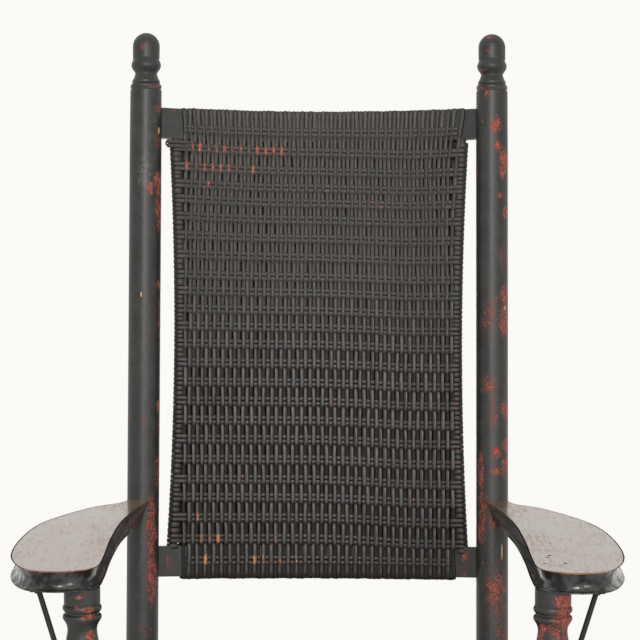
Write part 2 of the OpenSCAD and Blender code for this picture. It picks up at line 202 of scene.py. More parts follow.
def between(stops, x):
    # Straight lines through (x, value) stops
    if x <= stops[0][0]:
        return stops[0][1]
    for (x0, a), (x1, b) in zip(stops, stops[1:]):
        if x <= x1:
            return a + (b - a) * (x - x0) / (x1 - x0)
    return stops[-1][1]


paint = {
    "black": ((0.008, 0.0079, 0.0076), (0.025, 0.0246, 0.0238)),
    "rim": (0.07, 0.03, 0.023),
    "brown": (0.04, 0.02, 0.016),
    "grey": (0.12, 0.112, 0.105),
    "red": ((0.18, 0.034, 0.024), (0.5, 0.105, 0.068)),
    "bareWood": (0.5, 0.28, 0.11),
    # What the noises have to pass for a chip, and how much a worn place helps
    "whole": 1.64, "wear": 0.37,
    # Worn places on the back posts: millimetres across and up, half width, half height, strength
    "leftPost": [
        (17, 575, 5, 16, 1.0), (18, 553, 4, 18, 0.7), (17, 483, 4, 7, 0.9), (19, 435, 3, 52, 0.7),
        (1, 314, 4, 4, 1.0), (19, 331, 4, 11, 1.0), (20, 300, 4, 26, 0.75), (18, 250, 6, 26, 0.85),
        (12, 203, 7, 20, 0.95), (9, 175, 8, 22, 1.1), (17, 172, 3, 13, 0.9), (11, 150, 5, 16, 0.8),
        (12, 120, 11, 29, 1.05), (11, 90, 5, 16, 0.75), (8, 52, 12, 14, 0.6), (-4, 781, 6, 7, 1.0),
        (11, 731, 8, 2.5, 1.2), (15, 703, 6, 8, 0.85), (16, 664, 5, 16, 0.8),
        (6, 602, 6, 14, 1.15), (16, 614, 6, 15, 1.1), (18, 590, 5, 18, 0.95),
    ],
    "rightPost": [
        (-2, 794, 7, 4, 1.0), (-5, 777, 4, 4, 0.8), (-12, 753, 7, 2, 1.1), (-17, 731, 7, 2, 1.2),
        (11, 731, 8, 2, 1.2), (-7, 723, 5, 9, 0.85), (3, 685, 10, 13, 0.9), (5, 660, 6, 13, 0.85),
        (13, 636, 8, 26, 1.05), (11, 596, 8, 5, 0.7), (-20, 630, 3, 20, 0.85),
        (16, 575, 5, 11, 1.0), (13, 519, 8, 22, 0.6), (14, 473, 7, 12, 1.0),
        (14, 438, 7, 25, 1.1), (-4, 446, 12, 34, 0.72),
        (-6, 361, 14, 15, 0.7), (0, 326, 8, 28, 0.65), (15, 327, 6, 15, 1.05), (19, 303, 4, 8, 0.8),
        (16, 285, 7, 9, 1.1), (3, 274, 8, 11, 0.95), (16, 258, 7, 20, 1.0), (2, 252, 8, 9, 0.9),
        (-15, 250, 5, 30, 1.0), (-11, 209, 9, 22, 0.85), (-14, 177, 6, 23, 1.1),
        (-2, 187, 6, 12, 0.8), (3, 104, 18, 44, 0.74), (2, 104, 8, 16, 0.4), (12, 52, 12, 14, 0.6),
    ],
    # Scratches to bare wood and places rubbed grey: centre, radii, strength
    "leftScratches": [(onPost(-1, -3, 470), (0.0012, 0.02, 0.004), 1.0),
                      (onPost(-1, 17, 676), (0.0012, 0.02, 0.005), 1.0)],
    "leftRubbed": [(onPost(-1, 1, 622), (0.009, 0.02, 0.034), 1.0)],
    "rightScratches": [(onPost(1, 11, 152), (0.0011, 0.02, 0.012), 1.0),
                       (onPost(1, 15, 455), (0.0014, 0.02, 0.003), 1.0)],
    "frontPosts": [
        ((0.262, -0.292, 0.583), (0.016, 0.03, 0.008), 0.8),
        ((0.264, -0.29, 0.56), (0.014, 0.03, 0.022), 1.05),
        ((0.258, -0.292, 0.551), (0.018, 0.03, 0.006), 1.0),
        ((0.262, -0.292, 0.505), (0.02, 0.04, 0.05), 0.95),
        ((0.24, -0.29, 0.525), (0.006, 0.03, 0.04), 1.0),
        ((0.262, -0.29, 0.43), (0.018, 0.04, 0.05), 0.8),
        ((-0.247, -0.292, 0.571), (0.008, 0.02, 0.004), 1.2),
        ((-0.244, -0.29, 0.563), (0.006, 0.02, 0.003), 1.2),
        ((-0.251, -0.292, 0.562), (0.004, 0.02, 0.003), 1.1),
        ((-0.259, -0.295, 0.573), (0.003, 0.02, 0.003), 1.2),
        ((-0.245, -0.29, 0.54), (0.006, 0.03, 0.01), 1.15),
        ((-0.256, -0.295, 0.585), (0.012, 0.03, 0.003), 0.8),
        ((-0.256, -0.29, 0.47), (0.012, 0.04, 0.05), 0.7),
    ],
    "rails": [
        (onBack(-0.19, -0.006, 0.134), (0.006, 0.03, 0.017), 0.66),
        (onBack(-0.196, -0.006, 0.14), (0.004, 0.03, 0.012), 0.55),
        (onBack(0.191, -0.006, 0.143), (0.006, 0.03, 0.01), 1.05),
        (onBack(0.188, -0.006, 0.126), (0.008, 0.03, 0.01), 0.8),
        (onBack(-0.192, -0.006, 0.704), (0.006, 0.03, 0.004), 0.8),
    ],
    "low": [
        ((0.0, -0.29, 0.3), (0.16, 0.03, 0.012), 0.75),
        ((0.05, -0.29, 0.195), (0.12, 0.03, 0.012), 0.65),
        ((0.29, -0.19, 0.03), (0.05, 0.2, 0.03), 0.55),
        ((-0.27, 0.01, 0.03), (0.05, 0.15, 0.03), 0.55),
    ],
}


def postPlaces(side, spots):
    return [(onPost(side, across, s), (wide * mm, 0.03, tall * mm), strength)
            for across, s, wide, tall, strength in spots]


def wornPaint(name, places, base=0.0, scratch=(), rubbed=()):
    # Black paint, chipped to an older red one at the given places
    f = Finish(name, "black_paint")
    where = f.place()
    tall = where.vector("MULTIPLY", (1.0, 1.0, 0.65))
    fine = f.noise(tall, 500.0, 7.0, 0.8)
    speck = f.noise(tall, 1300.0, 3.0, 0.6)
    clump = f.noise(tall, 140.0, 2.0, 0.5)
    tint = f.noise(where, 60.0, 5.0, 0.62)
    skin = f.noise(tall, 640.0, 3.0, 0.6)
    cover = f.cover(where, places, f.noise(where, 16.0, 2.0).step(0.5, 0.8) * 0.15 + base).clamp()
    level = fine * 1.25 + speck * 0.8 + clump * 0.5 - paint["whole"] + cover * paint["wear"]
    worn = level.step(0.0, 0.05)
    black = f.mix((tint * 0.6 + skin * 0.4).step(0.36, 0.64), *paint["black"])
    black = f.mix(cover.step(0.15, 1.0) * 0.6, black, paint["brown"])
    black = f.mix(level.step(-0.1, 0.0) * 0.6, black, paint["rim"])
    if rubbed:
        # Rubbed through to a grey, pitted skin
        pale = (f.cover(where, rubbed) + (clump - 0.5) * 3.0).step(0.25, 1.1)
        black = f.mix(pale * skin.step(0.44, 0.6) * 0.75, black, paint["grey"])
    red = f.mix((speck * 0.6 + fine * 0.4).step(0.38, 0.62), *paint["red"])
    colour = f.mix(worn, black, red)
    if scratch:
        bare = (f.cover(where, scratch) + fine - 0.5).step(0.45, 0.55)
        colour = f.mix(bare, colour, paint["bareWood"])
    f.set(Base_Color=colour, IOR=1.5,
          Roughness=0.38 + tint * 0.12 + worn * 0.28,
          Normal=f.bump(skin * 0.3 + tint * 0.2 - worn * 0.8, 0.00038, 0.8))
    return f


cane = {
    "toneAndHighlight": ((0.015, 0.0143, 0.0136), (0.064, 0.0628, 0.0608)),
    "upperRecesses": (0.078, 0.07, 0.062),
    "recessShade": (0.0062, 0.0034, 0.0022),
    "brown": (0.056, 0.027, 0.018),
    "red": ((0.19, 0.042, 0.03), (0.6, 0.168, 0.11)),
    "tan": ((0.3, 0.085, 0.028), (0.72, 0.32, 0.12)),
}


layerNames = ("crown", "tone", "along", "across", "red", "tan")


def caneFinish():
    f = Finish("paintedCane", "woven_cane")
    where = f.place()
    crown, tone, along, across = (f.attribute(name) for name in layerNames[:4])
    height = f.separate(where, "Z")
    low = height.step(0.97, 0.72)
    bottom = height.step(0.66, 0.55)
    grain = f.noise(f.combine(along * 90.0, across * 9.0, tone * 60.0), 1.0, 3.0, 0.6)
    ragged = f.noise(f.combine(along * 420.0, across * 3.0, tone * 90.0), 1.0, 5.0, 0.7)
    patch = f.noise(where, 24.0, 3.0, 0.55)
    cell = f.noise(where, 150.0, 2.0, 0.6)
    # Painted highlight: besides their random tone and grain, the crowns of the strands are painted
    # lighter, much more so low on the panel and a little less at its very bottom
    lit = (tone * 0.3 + grain.step(0.3, 0.7) * 0.3 + cell.step(0.35, 0.65) * 0.4) * crown
    colour = f.mix(lit * (low * 0.98 + 0.26) * (1.0 - bottom * 0.32), *cane["toneAndHighlight"])
    stained = (grain + patch * 0.5 + low * 0.08).step(0.8, 0.98) * (0.85 - crown * 0.45)
    redShare = f.attribute("red")
    stained = (stained + redShare.step(0.02, 0.3) * 0.55).clamp()
    colour = f.mix(stained, colour, cane["brown"])
    # Painted shade: the low sides of the strands and the parts lying under other strands are
    # painted dark, hardly at the top of the panel and fully low down
    hidden = 1.0 - crown.step(0.05, 0.8)
    deep = hidden * (0.04 + low * 0.96)
    colour = f.mix(deep, colour, cane["recessShade"])
    # The same low places are painted lighter towards the top of the panel
    colour = f.mix(hidden * (1.0 - low) * 0.62, colour, cane["upperRecesses"])
    red = (redShare * 0.5 + ragged).step(0.82, 0.95) * (redShare.step(0.1, 0.9) * 0.75 + 0.2)
    tan = (f.attribute("tan") * 0.5 + ragged).step(0.82, 0.93)
    colour = f.mix(red, colour, f.mix(grain.step(0.35, 0.62), *cane["red"]))
    colour = f.mix(tan, colour, f.mix(grain.step(0.35, 0.65), *cane["tan"]))
    bare = (red + tan).clamp()
    f.set(Base_Color=colour, IOR=1.5,
          Roughness=0.44 - low * 0.16 + grain * 0.16 + deep * 0.4 + bare * 0.25,
          Normal=f.bump(grain * 0.8 - bare * 0.6, 0.00024, 0.8))
    return f


def armFinish():
    # Glossy black rubbed to brown wood; edge marks the rim, top the flat, hollow the inner side
    f = Finish("armFinish", "black_paint")
    where = f.place()
    edge, top, hollow = (f.attribute(name) for name in ("edge", "top", "hollow"))
    mirrored = where.vector("ABSOLUTE")
    fine = f.noise(where.vector("MULTIPLY", (1.0, 0.35, 1.0)), 900.0, 3.0, 0.6)
    streak = f.noise(where.vector("MULTIPLY", (1.0, 0.12, 1.0)), 260.0, 4.0, 0.6)
    broad = f.noise(where, 16.0, 4.0, 0.6)
    ragged = f.noise(where, 150.0, 5.0, 0.68)
    dents = f.noise(where, 70.0, 3.0, 0.6) * 6.0
    patchy = (broad * 0.4 + dents * 0.1).step(0.44, 0.56)
    pores = (fine * 0.6 + streak * 0.4 + broad * 0.35).step(0.66, 0.78)
    base = f.mix((broad * 0.6 + streak * 0.4).step(0.38, 0.62),
                 (0.115, 0.068, 0.038), (0.245, 0.14, 0.074))
    base = f.mix(1.0 - top, base, (0.012, 0.011, 0.01))
    base = f.mix(pores * top * 0.5, base, (0.016, 0.013, 0.011))
    blush = f.near(mirrored, (0.25, 0.13, 0.615), (0.02, 0.085, 0.02))
    blush = blush * (ragged + streak * 0.4).step(0.55, 0.85)
    colour = f.mix(blush * top * 0.75, base, (0.3, 0.12, 0.065))
    rub = (edge * 0.75 + ragged * 0.5).step(0.78, 0.95)
    bare = f.mix(broad.step(0.4, 0.6), (0.5, 0.17, 0.065), (0.66, 0.3, 0.13))
    colour = f.mix(rub, colour, bare)
    nick = f.cover(where, [((x, y, 0.615), (0.0022, 0.0036, 0.006), 1.0) for x, y in (
        (0.256, -0.208), (0.2525, -0.218), (0.247, -0.252), (0.27, -0.252))])
    nick = (nick + ragged - 0.5).step(0.45, 0.55)
    colour = f.mix(nick, colour, (0.006, 0.005, 0.004))
    height = streak * 0.3 - pores * 0.45 - nick * 1.2 + dents * 0.55 * (1.0 - top)
    f.set(Base_Color=colour, IOR=1.3, Coat_Roughness=0.18, Coat_IOR=1.6,
          Roughness=0.22 + broad * 0.14 + nick * 0.3 + rub * 0.15 + pores * top * 0.12,
          # The inner side gets no gloss coat, which leaves it dark as painted shade; the rest of
          # the sides has the coat in patches
          Coat_Weight=(top * (0.74 + broad * 0.3) + (1.0 - top) * (1.0 - hollow) * patchy * 0.9
                       - nick * 0.8 - pores * top * 0.28 - blush * 0.35).clamp(),
          Normal=f.bump(height, 0.0003, 0.5))
    return f


def ironFinish():
    f = Finish("darkIron", "dark_iron")
    where = f.place()
    spots = f.noise(where, 220.0, 5.0, 0.65)
    rust = spots.step(0.6, 0.7)
    f.set(Base_Color=f.mix(rust, (0.022, 0.02, 0.019), (0.1, 0.036, 0.018)),
          Metallic=0.55 - rust * 0.5,
          Roughness=0.42 + rust * 0.35,
          Normal=f.bump(spots, 0.0002, 0.6))
    return f


def grainFinish(name, slot, stretch, scale, spread, colours, rough, depth):
    # Fine grain, drawn out where the stretch is small
    f = Finish(name, slot)
    grain = f.noise(f.place().vector("MULTIPLY", stretch), scale, 4.0, 0.6)
    f.set(Base_Color=f.mix(grain.step(*spread), *colours),
          Roughness=rough[0] + grain * rough[1],
          Normal=f.bump(grain, depth, 0.6))
    return f


finishes = {
    "leftPost": wornPaint("paintLeftPost", postPlaces(-1, paint["leftPost"]),
                          scratch=paint["leftScratches"], rubbed=paint["leftRubbed"]),
    "rightPost": wornPaint("paintRightPost", postPlaces(1, paint["rightPost"]), 0.12,
                           scratch=paint["rightScratches"]),
    "frontPost": wornPaint("paintFrontPost", paint["frontPosts"], 0.12),
    "rails": wornPaint("paintRails", paint["rails"]),
    "low": wornPaint("paintLow", paint["low"], 0.2),
    "cane": caneFinish(),
    "arm": armFinish(),
    "iron": ironFinish(),
    "peg": grainFinish("pegWood", "wood_peg", stretch=(0.2, 1.0, 1.0), scale=900.0,
                       spread=(0.35, 0.7), rough=(0.5, 0.2), depth=0.0002,
                       colours=((0.014, 0.01, 0.008), (0.05, 0.026, 0.016))),
    "rod": grainFinish("rodCane", "side_rod_cane", stretch=(1.0, 1.0, 0.08), scale=700.0,
                       spread=(0.3, 0.7), rough=(0.45, 0.15), depth=0.00015,
                       colours=((0.02, 0.014, 0.011), (0.055, 0.036, 0.024))),
}
print("materials:", len(finishes))


# The first of these starts that fits a node's name gives its finish
dressing = [
    ("back_post_left", "leftPost"), ("back_post_right", "rightPost"), ("front_post", "frontPost"),
    ("back_top_rail", "rails"), ("back_bottom_rail", "rails"), ("arm_brace", "iron"),
    ("arm_screws", "iron"), ("brace_screws", "iron"), ("arm_", "arm"), ("back_rail_pins", "peg"),
    ("rocker_pins", "peg"), ("back_side_rod", "rod"), ("back_weave", "cane"),
    ("seat_weave", "cane"), ("", "low"),
]
for nodeName, obj in nodes.items():
    key = next(key for start, key in dressing if nodeName.startswith(start))
    obj.data.materials.clear()
    obj.data.materials.append(finishes[key].material)


# Section of a split cane strand, flat below and crowned above, in shares of its size
caneSection = [(-0.5, -0.16), (-0.37, 0.26), (0.0, 0.5), (0.37, 0.26), (0.5, -0.16), (0.0, -0.5)]
# Vertices nearer than this at the seam of a grid are one
seam = 1e-7


def newWeave():
    bm = bmesh.new()
    return bm, {name: bm.verts.layers.float.new(name) for name in layerNames}


def addStrand(weave, path, width, thickness, tone, closed=True):
    # path: a list of (point, direction across the strand, crown, red, tan)
    bm, layers = weave
    count = len(path)
    steps = count if closed else count - 1
    sides = len(caneSection)
    grid = bmesh.ops.create_grid(bm, x_segments=steps, y_segments=sides, size=1.0)["verts"]
    frames = []
    run = 0.0
    for i in range(steps + 1):
        point, across, crown, red, tan = path[i % count]
        before = path[(i - 1) % count][0] if closed or i > 0 else point
        after = path[(i + 1) % count][0] if closed or i < count - 1 else point
        outward = (after - before).normalized().cross(across).normalized()
        if i > 0:
            run += (point - path[(i - 1) % count][0]).length
        taper = 1.0 if closed else min(1.0, i / 1.5, (steps - i) / 1.5)
        frames.append((point, across, outward, crown, red, tan, run, taper))
    for v in grid:
        i = round((v.co.x + 1) / 2 * steps)
        j = round((v.co.y + 1) / 2 * sides)
        point, across, outward, crown, red, tan, run, taper = frames[i]
        a, h = caneSection[j % sides]
        v.co = point + across * (a * width * taper) + outward * (h * thickness * taper)
        # The crown is highest along the top of the section; the cane finish paints high places
        # light and low ones dark with it
        onTop = max(0.0, 1 - abs(a) * 1.5) if h > 0 else 0.0
        raised = 0.4 + 0.6 * onTop if h > 0 else 0.2
        worn = 0.6 + 0.4 * onTop
        values = (crown * raised, tone, run, a + 0.5, red * worn, tan * worn)
        for name, value in zip(layerNames, values):
            v[layers[name]] = value
    bmesh.ops.remove_doubles(bm, verts=grid, dist=seam)


def addObject(name, data):
    obj = bpy.data.objects.new(name, data)
    bpy.context.scene.collection.objects.link(obj)
    return obj


def finishPiece(bm, name, key, replaced=()):
    bmesh.ops.recalc_face_normals(bm, faces=bm.faces[:])
    mesh = bpy.data.meshes.new(name)
    bm.to_mesh(mesh)
    bm.free()
    mesh.shade_smooth()
    mesh.materials.append(finishes[key].material)
    obj = addObject(name, mesh)
    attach(obj, "root")
    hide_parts(*replaced)
    print(name, len(mesh.polygons), "faces")
    return obj


def ease(x):
    x = min(1.0, max(0.0, x))
    return x * x * (3 - 2 * x)


def part(x, stops):
    # 0 at the first stop, 1 at the second
    return ease((x - stops[0]) / (stops[1] - stops[0]))


def floatPlan(centres, start, end, firstOver, dive, rise):
    # (place, height) along a warp, which floats over one row and dives under the next
    stops = [(start, 0.4 if firstOver else -0.4)]
    over = firstOver
    for c in centres:
        stops.append((c, 1.0 if over else -1.0))
        over = not over
    stops.append((end, -0.4 if over else 0.4))
    plan = []
    for (p, a), (q, b) in zip(stops, stops[1:]):
        low, high = dive if b < a else rise
        shares = [0.0, low * 0.6] + [low + (high - low) * k / 4 for k in range(5)] + [0.72, 0.86]
        for v in sorted(shares):
            plan.append((p + (q - p) * v, a + (b - a) * ease((v - low) / (high - low))))
    plan.append(stops[-1])
    return plan


back = {
    "lines": [676.6, 651.0, 626.7, 605.0, 585.9, 564.2, 540.0, 515.8, 490.4, 470.1, 447.2, 425.6,
              404.1, 380.0, 355.9, 331.9, 307.9, 283.9, 258.6, 233.4, 210.7, 185.5, 159.1, 134.0],
    "rowStep": 24.3, "pairAbove": 4.2, "pairHalf": 2.85,
    "rodEnd": 185.4, "rodWaist": 8.3, "rodLow": 153.0, "rodHigh": 669.0,
    # By height: half width of the outermost warps, the gap beside them and the fan at the right
    "outer": [(150, 172.9), (638, 172.9), (669, 174.0), (710, 176.0)],
    "gap": [(560, 6.2), (645, 8.2), (710, 7.8)],
    "fan": [(150, 3.0), (260, 2.4), (400, 0.4), (560, 0.6), (638, 6.0), (669, 9.0), (710, 11.5)],
    "fanFrom": 125.0, "fanWidth": 48.0,
    "inner": 63,
    "layer": 7.7, "lift": 0.95, "crimp": 0.32,
    "warpWide": 5.15, "warpThick": 1.35, "weftWide": 5.45, "weftThick": 1.2,
    # The strands of the back face stand between those of the front, and are wider
    "behindShift": 2.65, "behindWider": 1.36, "outerWider": 0.5,
    # Turns round the side rods: clear is how far below the rods' upper ends they stop, by side
    "wrapRadius": 7.0, "wrapOut": 0.5, "wrapReach": 175.6, "wrapPitch": 6.1, "wrapThick": 1.3,
    "wrapVary": (0.9, 1.15), "wrapAngle": 336, "wrapPoints": 15, "wrapTilt": 0.35,
    "clear": {-1: 15, 1: 3},
    # Heights between which the faces are flat, and where the runs over the rails start
    "faceLow": 130, "faceHigh": 700, "top": 703.5, "bottom": 124.0, "turnDepth": 14.0,
    "dive": (0.17, 0.42), "rise": (0.15, 0.37),
    # How far a row stands above its level, by place across, and heights between which this holds
    "raise": [(-130, 3.4), (0, 2.8), (60, 0.8), (115, -2.4), (170, -3.2)],
    "levelBelow": (122.0, 167.0), "levelAbove": (650.0, 705.0),
    "sag": -2.2, "sagFrom": (430.0, 630.0), "sagHalf": 170.0,
    # How far a warp wanders, twists and swells
    "wander": 0.38, "twist": 0.24, "swell": 0.08,
    # Waves along the strands, and the length in which their angle grows by one
    "wave": (0.1, 0.3), "phase": (0, 6.28), "waveRun": 70.0, "weftWaveRun": 60.0,
    "ripple": 0.16, "rippleRun": 11.3,
    # Random shares: slant with height, slack at the turns, width, tone
    "slant": (0.1, 0.35), "slackTop": (-0.2, 0.5), "slackBottom": (-0.6, 0.2),
    "vary": (0.97, 1.03), "weftVary": (0.96, 1.03),
    "evenTones": (0.3, 1.0), "oddTones": (0.0, 0.7), "weftTones": (0.1, 0.8),
    # Height of a warp in the turns, over and under, which there only leans it a little and paints
    # it lit or shaded, and depth of the cross strands' loose ends
    "turnHeights": (0.4, -0.25), "endDepth": 6.9,
    # Middle of a chip above its row, half its height, and how soon it is at its full strength
    "chipAbove": 0.8, "chipHalf": 8.5, "chipGain": 1.3,
    # Strength of the red and bare chips on the floats of a row, from a warp on, every second one
    "red": {0: (0, [0, 0, 0, 0.3, 0, 0.2]),
            1: (1, [0.85, 1, 0.7, 0.85, 0.9, 0.7, 0.8, 0.2, 1, 1, 0.9, 1, 0, 0, 0, 0.4]),
            2: (0, [1, 0.5, 0.85, 0.9, 1, 0.9, 0.4, 0.5, 1, 0.4]), 3: (3, [0.45, 0.8])},
    "tan": {1: (15, [0.6]), 2: (20, [0.65, 0.3]), 21: (3, [0.85]),
            22: (4, [0.8, 0.75, 1.0, 0, 0, 0, 0, 0.4, 0, 0.7]),
            23: (3, [0.6, 1, 0, 0, 0, 0, 0, 1.0, 0.8, 0, 0.7, 0.6, 0.75])},
    # Where the cross strands show red: place across and up, half width, half height, share
    "redPatches": [(50, 378, 26, 45, 0.55), (35, 142, 50, 14, 0.55), (40, 200, 34, 16, 0.45),
                   (-60, 140, 60, 30, 0.35), (-120, 200, 50, 80, 0.22), (0, 200, 170, 90, 0.14),
                   (60, 600, 60, 20, 0.15), (-150, 620, 30, 40, 0.25)],
    "redShare": 0.04, "redGain": 1.6, "redTones": (0.4, 0.95),
    # Brown stains: share everywhere, more of them low down, strengths
    "stain": 0.15, "stainMore": 0.4, "stainFrom": (480.0, 230.0), "stainTones": (0.05, 0.25),
    # Share of red turns round the side rods, below and above a height, and strengths
    "ringRed": (0.16, 0.04), "ringLow": 270, "ringTones": (0.45, 0.75),
}
seeded = random.Random(7)
kinks = random.Random(11)
backRows = [line + back["pairAbove"] for line in back["lines"]]
# Depth and height of the strands where they turn over the rails
topTurn = [(-7.35, 705.4), (-6.85, 706.9), (-5.9, 707.7), (-3.0, 707.95), (0.0, 708.0),
           (3.0, 707.95), (5.9, 707.7), (6.85, 706.9), (7.35, 705.4)]
bottomTurn = [(-7.4, 121.0), (-6.6, 118.2), (-4.6, 116.6), (0.0, 116.1),
              (4.6, 116.6), (6.6, 118.2), (7.4, 121.0)]
upBack = Vector((0, math.sin(lean), math.cos(lean)))


def rodAt(s):
    middle = (back["rodLow"] + back["rodHigh"]) / 2
    half = (back["rodHigh"] - back["rodLow"]) / 2
    t = min(1.0, abs(s - middle) / half)
    return back["rodEnd"] - back["rodWaist"] * (1 - t * t)


def backSpot(u, depth, s):
    return onBack(u * mm, depth * mm, s * mm)


def backAcross(u):
    angle = u * mm / bowRadius
    return Vector((math.cos(angle),
                   -math.sin(angle) * math.cos(lean), math.sin(angle) * math.sin(lean)))


def warpPlace(index, s, fan=1.0):
    outer = between(back["outer"], s)
    if index in (0, back["inner"] + 1):
        u = outer if index else -outer
    else:
        u = (outer - between(back["gap"], s)) * (2 * (index - 1) / (back["inner"] - 1) - 1)
    fanned = max(0.0, (u - back["fanFrom"]) / back["fanWidth"]) ** 2
    return u + fan * between(back["fan"], s) * fanned


def rowAt(u, s):
    # The rows stand a little askew, and sag towards the middle near the top
    sag = back["sag"] * part(s, back["sagFrom"]) * (1 - min(1.0, abs(u) / back["sagHalf"]) ** 2)
    askew = (sag + between(back["raise"], u)) * part(s, back["levelBelow"])
    return s + askew * (1 - part(s, back["levelAbove"]))


def chipOn(kind, index, s):
    # Strength of the chip on a warp at a height, strongest on the crossing
    for row, (first, strengths) in back[kind].items():
        place = (index - first) / 2
        if place == int(place) and 0 <= place < len(strengths):
            near = 1 - ((s - backRows[row] - back["chipAbove"]) / back["chipHalf"]) ** 2
            if near > 0:
                return strengths[int(place)] * min(1.0, near * back["chipGain"])
    return 0.0


def unevenness(size):
    # A value that wanders along a strand, up to size either way, with one draw per row
    stops = [kinks.uniform(-size, size) for k in range(len(backRows) + 3)]

    def at(s):
        place = min(len(stops) - 2.0, max(0.0, (back["top"] - s) / back["rowStep"]))
        first = int(place)
        return stops[first] + (stops[first + 1] - stops[first]) * ease(place - first)

    return at


def draw(*names):
    return [seeded.uniform(*back[name]) for name in names]


def backWarp(index, weave):
    wander, twist, swell = (unevenness(back[name]) for name in ("wander", "twist", "swell"))
    wave, phase, slant, slackTop, slackBottom = draw("wave", "phase", "slant",
                                                     "slackTop", "slackBottom")
    even = index % 2 == 0
    path = []

    def warpAt(depth, s, height, front):
        onFace = back["faceLow"] < s < back["faceHigh"]
        fan = 1.0 if front else 0.0
        if not onFace:
            fan = min(1.0, max(0.0, 0.5 - depth / back["turnDepth"]))
        u = warpPlace(index, s, fan) + wave * math.sin(s / back["waveRun"] + phase) + slant * height
        u += back["ripple"] * math.sin(s / back["rippleRun"] + phase * 3)
        wider = 1.0
        if not front:
            u += back["behindShift"] * (1 if index <= back["inner"] else -1)
            outermost = index in (0, back["inner"] + 1)
            wider = back["behindWider"] + (back["outerWider"] if outermost else 0.0)
        across = backAcross(u)
        if front and onFace:
            u += wander(s)
            across = (across + upBack.cross(across) * twist(s)).normalized()
            wider += swell(s)
        red, tan = (chipOn("red", index, s), chipOn("tan", index, s)) if front else (0.0, 0.0)
        point = backSpot(u, depth, rowAt(u, s))
        path.append((point, across * wider, ease((height + 0.5) / 1.5), red, tan))

    bends = (back["dive"], back["rise"])
    over, under = back["turnHeights"]
    for s, h in floatPlan(backRows, back["top"], back["bottom"], even, *bends):
        warpAt(-back["layer"] - back["lift"] * h, s, h, True)
    for depth, s in bottomTurn:
        warpAt(depth, s + slackBottom, over if even == (depth > 0) else under, depth < 0)
    for s, h in floatPlan(backRows[::-1], back["bottom"], back["top"], not even, *bends):
        warpAt(back["layer"] + back["lift"] * h, s, h, False)
    for depth, s in topTurn[::-1]:
        warpAt(depth, s + slackTop, over if even == (depth < 0) else under, depth < 0)
    tone, vary = draw("evenTones" if even else "oddTones", "vary")
    addStrand(weave, path, back["warpWide"] * mm * vary, back["warpThick"] * mm, tone)


warpPieces = [newWeave(), newWeave()]
for index in range(back["inner"] + 2):
    backWarp(index, warpPieces[index % 2])
finishPiece(warpPieces[0][0], "back_warps_a", "cane", ("back_weave",))
finishPiece(warpPieces[1][0], "back_warps_b", "cane", ("back_weave",))

weftPiece = newWeave()
wrapPiece = newWeave()


def weftRed(u, s):
    near = [p * (1 - math.hypot((u - a) / w, (s - b) / h)) * back["redGain"]
            for a, b, w, h, p in back["redPatches"]]
    if seeded.random() < back["redShare"] + max([0.0] + near):
        return draw("redTones")[0]
    stained = back["stain"] + back["stainMore"] * part(s, back["stainFrom"])
    return draw("stainTones")[0] if seeded.random() < stained else 0.0


def weftRun(row, s, side, wobble):
    # Points across one face, from left to right, pressed in where a warp floats over
    def lifted(u):
        return rowAt(u, s) + wobble[0] * math.sin(u / back["weftWaveRun"] + wobble[1])

    points = []
    fan, shift = (1.0, 0.0) if side < 0 else (0.0, back["behindShift"])
    places = [warpPlace(index, s, fan) + shift for index in range(back["inner"] + 2)]
    for index, u in enumerate(places):
        over = (index + row) % 2 == (0 if side < 0 else 1)
        h = -1.0 if over else 1.0
        red = weftRed(u, s) if h > 0 and side < 0 else 0.0
        depth = side * (back["layer"] + back["crimp"] * h)
        points.append((u, depth, lifted(u), 0.2 + 0.7 * (h > 0), red))
        if index < len(places) - 1:
            middle = (u + places[index + 1]) / 2
            points.append((middle, side * back["layer"], lifted(middle), 0.15, 0.0))
    return points


def ringPoints(centre, s, fromAngle, toAngle, count):
    # A turn round a side rod, reaching in to the outermost warp
    points = []
    centre += math.copysign(back["wrapOut"], centre)
    redChance = back["ringRed"][0 if s < back["ringLow"] else 1]
    red = draw("ringTones")[0] if seeded.random() < redChance else 0.0
    s = rowAt(centre, s)
    inner = max(back["wrapRadius"], abs(centre) - back["wrapReach"])
    for k in range(count):
        a = math.radians(fromAngle + (toAngle - fromAngle) * k / (count - 1))
        reach = inner if math.sin(a) * centre < 0 else back["wrapRadius"]
        points.append((centre + reach * math.sin(a), -back["wrapRadius"] * math.cos(a), s,
                       0.6, red * max(0.0, math.cos(a))))
    return points


def weftPath(points):
    return [(backSpot(u, d, h), upBack, c, red, 0.0) for u, d, h, c, red in points]


for row, centre in enumerate(backRows):
    for strand in (-1, 1):
        s = centre + strand * back["pairHalf"]
        wobble = draw("wave", "phase")
        front = weftRun(row, s, -1, wobble)
        behind = weftRun(row, s, 1, wobble)[::-1]
        tone, vary = draw("weftTones", "weftVary")
        thick = back["weftThick"] * mm
        wide = back["weftWide"] * mm * vary
        if back["rodLow"] + 2 < s < back["rodHigh"] - 9:
            rod = rodAt(s)
            around = front + ringPoints(rod, s, 0, 180, 9)
            around += behind + ringPoints(-rod, s, 180, 360, 9)
            addStrand(weftPiece, weftPath(around), wide, thick, tone)
        else:
            # Above and below the rods a strand ends in the outermost warps
            for run in (front, behind):
                for end in (0, -1):
                    u, depth, height = run[end][:3]
                    run[end] = (u, math.copysign(back["endDepth"], depth), height, 0.1, 0.0)
                addStrand(weftPiece, weftPath(run), wide, thick, tone, closed=False)

